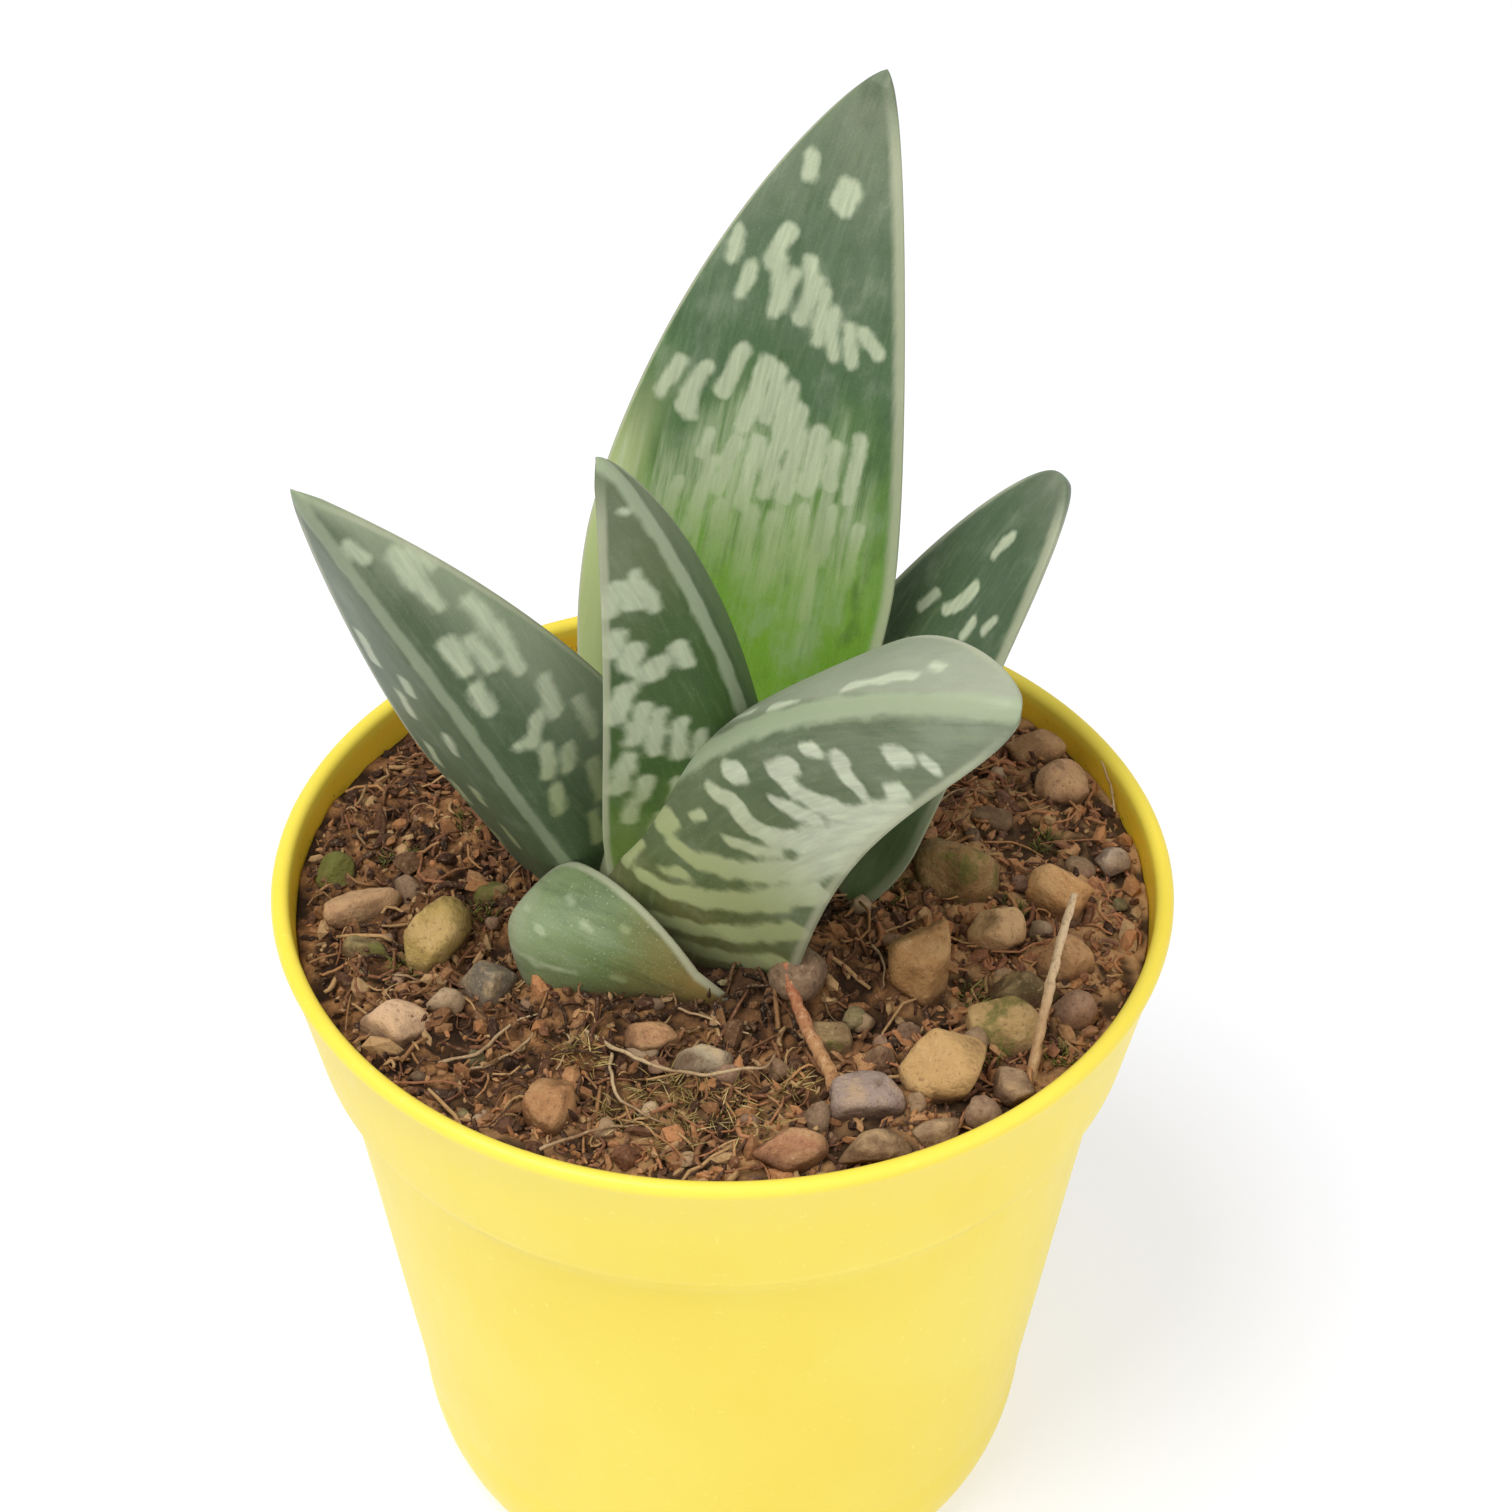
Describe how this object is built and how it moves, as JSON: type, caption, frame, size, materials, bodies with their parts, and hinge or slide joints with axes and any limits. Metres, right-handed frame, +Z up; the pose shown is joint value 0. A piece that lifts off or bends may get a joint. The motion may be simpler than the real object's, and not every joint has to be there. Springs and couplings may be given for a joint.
{
  "type": "potted aloe plant",
  "caption": "Young tiger aloe with pale-banded, keeled, fleshy leaves, in a yellow plastic pot of stony potting soil.",
  "frame": {"origin": "centre of the pot's flat base", "axes": "+Z up along the pot's axis; -Y is the plant's front, where the broad arching leaf and the short leaf are"},
  "size_m": [0.085, 0.085, 0.1404],
  "materials": {
    "pot": "semi-gloss moulded yellow plastic",
    "soil": "moist fibrous potting soil with fine grit",
    "stem": "dull fibrous stem",
    "leaf": "waxy dark green with pale bands, keel and margins",
    "stone": "dusty brown gravel",
    "stalk": "dry fibrous stalk"
  },
  "bodies": {
    "root": {"pot": "pot", "soil": "soil", "stem": "stem", "tall_leaf": "leaf", "centre_leaf": "leaf", "back_right_leaf": "leaf", "left_leaf": "leaf", "front_right_leaf": "leaf", "stub_leaf": "leaf", "pebble_01": "stone", "pebble_02": "stone", "pebble_03": "stone", "pebble_04": "stone", "pebble_05": "stone", "pebble_06": "stone", "pebble_07": "stone", "pebble_08": "stone", "pebble_09": "stone", "pebble_10": "stone", "pebble_11": "stone", "pebble_12": "stone", "pebble_13": "stone", "pebble_14": "stone", "pebble_15": "stone", "pebble_16": "stone", "pebble_17": "stone", "pebble_18": "stone", "pebble_19": "stone", "pebble_20": "stone", "pebble_21": "stone", "pebble_22": "stone", "pebble_23": "stone", "pebble_24": "stone", "pebble_25": "stone", "pebble_26": "stone", "pebble_27": "stone", "pebble_28": "stone", "pebble_29": "stone", "pebble_30": "stone", "pebble_31": "stone", "pebble_32": "stone", "pebble_33": "stone", "pebble_34": "stone", "stalk_front": "stalk", "stalk_right": "stalk"}
  },
  "joints": []
}
